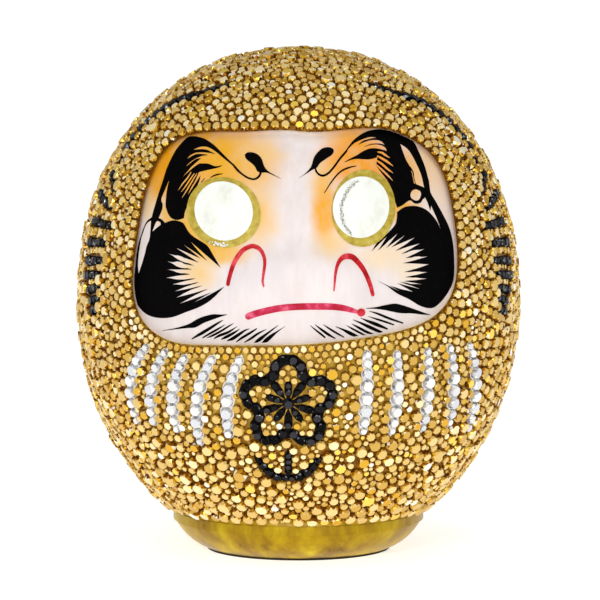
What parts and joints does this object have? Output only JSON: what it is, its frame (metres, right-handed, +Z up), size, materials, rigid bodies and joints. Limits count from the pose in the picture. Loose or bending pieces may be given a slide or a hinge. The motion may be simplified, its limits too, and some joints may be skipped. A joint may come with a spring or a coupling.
{
  "type": "daruma doll",
  "caption": "Round self-righting pressed-paper doll with a painted face, covered with flat-back crystals over a smooth gold foot.",
  "frame": {"origin": "centre of the base disc, on the surface that the doll stands on", "axes": "+Z up, the face looks along -Y, +X to the right of a viewer who faces the doll"},
  "size_m": [0.1323, 0.1316, 0.1499],
  "materials": {
    "gold_painted_paper": "pressed paper pulp sealed with gold paint",
    "bare_paper": "bare glued paper",
    "face_paint": "satin shell-white ground shaded with orange",
    "eye_white_paint": "thick white paint",
    "gold_paint": "brushed gold paint",
    "black_paint": "glossy black brush paint",
    "red_paint": "red brush paint",
    "white_paint": "white paint under the clear crystals",
    "gold_painted_clay": "clay under satin gold paint",
    "base_paper": "dark paper disc",
    "gold_crystal": "foiled light-topaz crystal",
    "clear_crystal": "foiled clear crystal",
    "jet_crystal": "foiled jet crystal"
  },
  "bodies": {
    "root": {"back_slit_strip": "bare_paper", "base_paper_disc": "base_paper", "belly_crystals": "gold_crystal", "chest_crystals": "gold_crystal", "chest_flower_crystals": "jet_crystal", "chest_leaf_crystals": "jet_crystal", "crown_crystals": "gold_crystal", "face_border_crystals": "gold_crystal", "face_ground_coat": "face_paint", "foot_border_crystals": "gold_crystal", "foot_joint_band": "gold_painted_paper", "foot_weight": "gold_painted_clay", "left_back_crystals": "gold_crystal", "left_cheek_crystals": "gold_crystal", "left_eye_ring": "gold_paint", "left_eye_white": "eye_white_paint", "left_hood_line_crystals": "jet_crystal", "left_side_dash_crystals": "jet_crystal", "left_stripe_crystals_1": "clear_crystal", "left_stripe_crystals_2": "clear_crystal", "left_stripe_crystals_3": "clear_crystal", "left_stripe_crystals_4": "clear_crystal", "left_stripe_crystals_5": "clear_crystal", "lower_back_crystals": "gold_crystal", "paper_body": "gold_painted_paper", "right_back_crystals": "gold_crystal", "right_cheek_crystals": "gold_crystal", "right_eye_ring": "gold_paint", "right_eye_white": "eye_white_paint", "right_hood_line_crystals": "jet_crystal", "right_side_dash_crystals": "jet_crystal", "right_stripe_crystals_1": "clear_crystal", "right_stripe_crystals_2": "clear_crystal", "right_stripe_crystals_3": "clear_crystal", "right_stripe_crystals_4": "clear_crystal", "right_stripe_crystals_5": "clear_crystal"}
  },
  "joints": []
}
